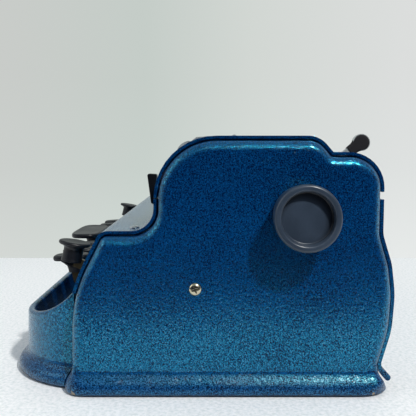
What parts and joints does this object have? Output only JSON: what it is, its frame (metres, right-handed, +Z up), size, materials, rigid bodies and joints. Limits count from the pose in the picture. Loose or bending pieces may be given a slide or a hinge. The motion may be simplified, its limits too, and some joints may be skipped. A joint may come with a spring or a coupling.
{
  "type": "braille writer",
  "caption": "Mechanical braille writer in a hammered-enamel case: sprung dot keys, space and round end keys, sliding embossing head, roller knobs, release levers and carrying handle.",
  "frame": {"origin": "on the table, below the middle of the machine's bounding box", "axes": "+X to the user's right along the width, -Y towards the keys at the front, +Z up"},
  "size_m": [0.394, 0.2324, 0.153],
  "materials": {
    "enamel": "blue hammertone enamel, semi-gloss",
    "black_plastic": "satin black moulding",
    "rubber": "matt black rubber",
    "chrome": "bright plating",
    "steel": "ground steel",
    "black_paint": "satin black paint"
  },
  "bodies": {
    "frame": {"right_side_cover": "enamel", "left_side_cover": "enamel", "front_cover": "enamel", "top_cover": "enamel", "rear_cover": "enamel", "base_pan": "enamel", "bottom_plate": "steel", "rubber_feet": "rubber", "side_screws": "chrome", "ledge_screws": "chrome", "bottom_screws": "steel", "right_frame_plate": "steel", "left_frame_plate": "steel", "tie_rods": "steel", "key_shaft": "steel", "key_springs": "steel", "head_rails": "chrome", "head_rack": "steel", "margin_bar": "steel", "bell": "chrome", "paper_guide": "steel", "handle_brackets": "chrome"},
    "head": {"head_block": "steel", "head_jaw": "chrome", "head_lever": "black_plastic"},
    "pin_1": {"embossing_pin_1": "chrome"},
    "pin_2": {"embossing_pin_2": "chrome"},
    "pin_3": {"embossing_pin_3": "chrome"},
    "pin_4": {"embossing_pin_4": "chrome"},
    "pin_5": {"embossing_pin_5": "chrome"},
    "pin_6": {"embossing_pin_6": "chrome"},
    "key_1": {"key_1_lever": "steel", "key_1_cap": "black_plastic"},
    "key_2": {"key_2_lever": "steel", "key_2_cap": "black_plastic"},
    "key_3": {"key_3_lever": "steel", "key_3_cap": "black_plastic"},
    "key_4": {"key_4_lever": "steel", "key_4_cap": "black_plastic"},
    "key_5": {"key_5_lever": "steel", "key_5_cap": "black_plastic"},
    "key_6": {"key_6_lever": "steel", "key_6_cap": "black_plastic"},
    "space_key": {"space_key_lever": "steel", "space_key_cap": "black_plastic"},
    "backspace_key": {"backspace_key_lever": "steel", "backspace_key_cap": "black_plastic"},
    "line_space_key": {"line_space_key_lever": "steel", "line_space_key_cap": "black_plastic"},
    "paper_feed": {"feed_roller": "rubber", "ratchet_wheel": "steel", "right_feed_knob": "black_plastic", "left_feed_knob": "black_plastic"},
    "right_release": {"right_release_lever": "rubber"},
    "left_release": {"left_release_lever": "rubber"},
    "right_stop": {"right_margin_stop": "black_paint"},
    "left_stop": {"left_margin_stop": "black_paint"},
    "carry_handle": {"handle": "chrome"},
    "hammer": {"bell_hammer": "steel"},
    "drum": {"spring_drum": "steel"}
  },
  "joints": [
    {"name": "head_slide", "type": "slide", "parent": "frame", "child": "head", "axis": [-1, 0, 0], "range_m": [0, 0.23]},
    {"name": "key_1_press", "type": "hinge", "parent": "frame", "child": "key_1", "pos_m": [0, 0.0018, 0.0607], "axis": [1, 0, 0], "range_deg": [0, 6.5], "stiffness_Nm_per_rad": 1.2, "springref_deg": -6.88},
    {"name": "key_2_press", "type": "hinge", "parent": "frame", "child": "key_2", "pos_m": [0, 0.0018, 0.0607], "axis": [1, 0, 0], "range_deg": [0, 6.5], "stiffness_Nm_per_rad": 1.2, "springref_deg": -6.88},
    {"name": "key_3_press", "type": "hinge", "parent": "frame", "child": "key_3", "pos_m": [0, 0.0018, 0.0607], "axis": [1, 0, 0], "range_deg": [0, 6.5], "stiffness_Nm_per_rad": 1.2, "springref_deg": -6.88},
    {"name": "key_4_press", "type": "hinge", "parent": "frame", "child": "key_4", "pos_m": [0, 0.0018, 0.0607], "axis": [1, 0, 0], "range_deg": [0, 6.5], "stiffness_Nm_per_rad": 1.2, "springref_deg": -6.88},
    {"name": "key_5_press", "type": "hinge", "parent": "frame", "child": "key_5", "pos_m": [0, 0.0018, 0.0607], "axis": [1, 0, 0], "range_deg": [0, 6.5], "stiffness_Nm_per_rad": 1.2, "springref_deg": -6.88},
    {"name": "key_6_press", "type": "hinge", "parent": "frame", "child": "key_6", "pos_m": [0, 0.0018, 0.0607], "axis": [1, 0, 0], "range_deg": [0, 6.5], "stiffness_Nm_per_rad": 1.2, "springref_deg": -6.88},
    {"name": "space_key_press", "type": "hinge", "parent": "frame", "child": "space_key", "pos_m": [0, 0.0018, 0.0607], "axis": [1, 0, 0], "range_deg": [0, 6.5], "stiffness_Nm_per_rad": 1.2, "springref_deg": -6.88},
    {"name": "backspace_key_press", "type": "hinge", "parent": "frame", "child": "backspace_key", "pos_m": [0, 0.0018, 0.0607], "axis": [1, 0, 0], "range_deg": [0, 6.5], "stiffness_Nm_per_rad": 1.2, "springref_deg": -6.88},
    {"name": "line_space_key_press", "type": "hinge", "parent": "frame", "child": "line_space_key", "pos_m": [0, 0.0018, 0.0607], "axis": [1, 0, 0], "range_deg": [0, 6.5], "stiffness_Nm_per_rad": 1.2, "springref_deg": -6.88},
    {"name": "pin_1_lift", "type": "slide", "parent": "head", "child": "pin_1", "axis": [0, 0, 1], "range_m": [0, 0.0034]},
    {"name": "pin_2_lift", "type": "slide", "parent": "head", "child": "pin_2", "axis": [0, 0, 1], "range_m": [0, 0.0037]},
    {"name": "pin_3_lift", "type": "slide", "parent": "head", "child": "pin_3", "axis": [0, 0, 1], "range_m": [0, 0.004]},
    {"name": "pin_4_lift", "type": "slide", "parent": "head", "child": "pin_4", "axis": [0, 0, 1], "range_m": [0, 0.0043]},
    {"name": "pin_5_lift", "type": "slide", "parent": "head", "child": "pin_5", "axis": [0, 0, 1], "range_m": [0, 0.0045]},
    {"name": "pin_6_lift", "type": "slide", "parent": "head", "child": "pin_6", "axis": [0, 0, 1], "range_m": [0, 0.0048]},
    {"name": "paper_feed_turn", "type": "hinge", "parent": "frame", "child": "paper_feed", "pos_m": [0, 0.0631, 0.103], "axis": [1, 0, 0], "continuous": true},
    {"name": "right_release_swing", "type": "hinge", "parent": "frame", "child": "right_release", "pos_m": [0, 0.0786, 0.125], "axis": [1, 0, 0], "range_deg": [0, 45]},
    {"name": "left_release_swing", "type": "hinge", "parent": "frame", "child": "left_release", "pos_m": [0, 0.0786, 0.125], "axis": [1, 0, 0], "range_deg": [0, 45]},
    {"name": "right_stop_slide", "type": "slide", "parent": "frame", "child": "right_stop", "axis": [1, 0, 0], "range_m": [-0.085, 0.03]},
    {"name": "left_stop_slide", "type": "slide", "parent": "frame", "child": "left_stop", "axis": [1, 0, 0], "range_m": [-0.03, 0.085]},
    {"name": "handle_lift", "type": "hinge", "parent": "frame", "child": "carry_handle", "pos_m": [0, 0.03, 0.1509], "axis": [-1, 0, 0], "range_deg": [0, 110]},
    {"name": "hammer_swing", "type": "hinge", "parent": "frame", "child": "hammer", "pos_m": [-0.084, 0.062, 0.017], "axis": [0, 0, 1], "range_deg": [-15, 15], "stiffness_Nm_per_rad": 0.004},
    {"name": "drum_turn", "type": "hinge", "parent": "frame", "child": "drum", "pos_m": [-0.07, 0.078, 0.039], "axis": [0, 0, 1], "range_deg": [0, 610]}
  ],
  "couplings": [
    {"joint": "pin_1_lift", "follows": "key_1_press", "m_per_rad": 0.0282},
    {"joint": "pin_2_lift", "follows": "key_2_press", "m_per_rad": 0.0307},
    {"joint": "pin_3_lift", "follows": "key_3_press", "m_per_rad": 0.0332},
    {"joint": "pin_4_lift", "follows": "key_4_press", "m_per_rad": 0.0357},
    {"joint": "pin_5_lift", "follows": "key_5_press", "m_per_rad": 0.0382},
    {"joint": "pin_6_lift", "follows": "key_6_press", "m_per_rad": 0.0407},
    {"joint": "drum_turn", "follows": "head_slide", "rad_per_m": 45.455}
  ]
}
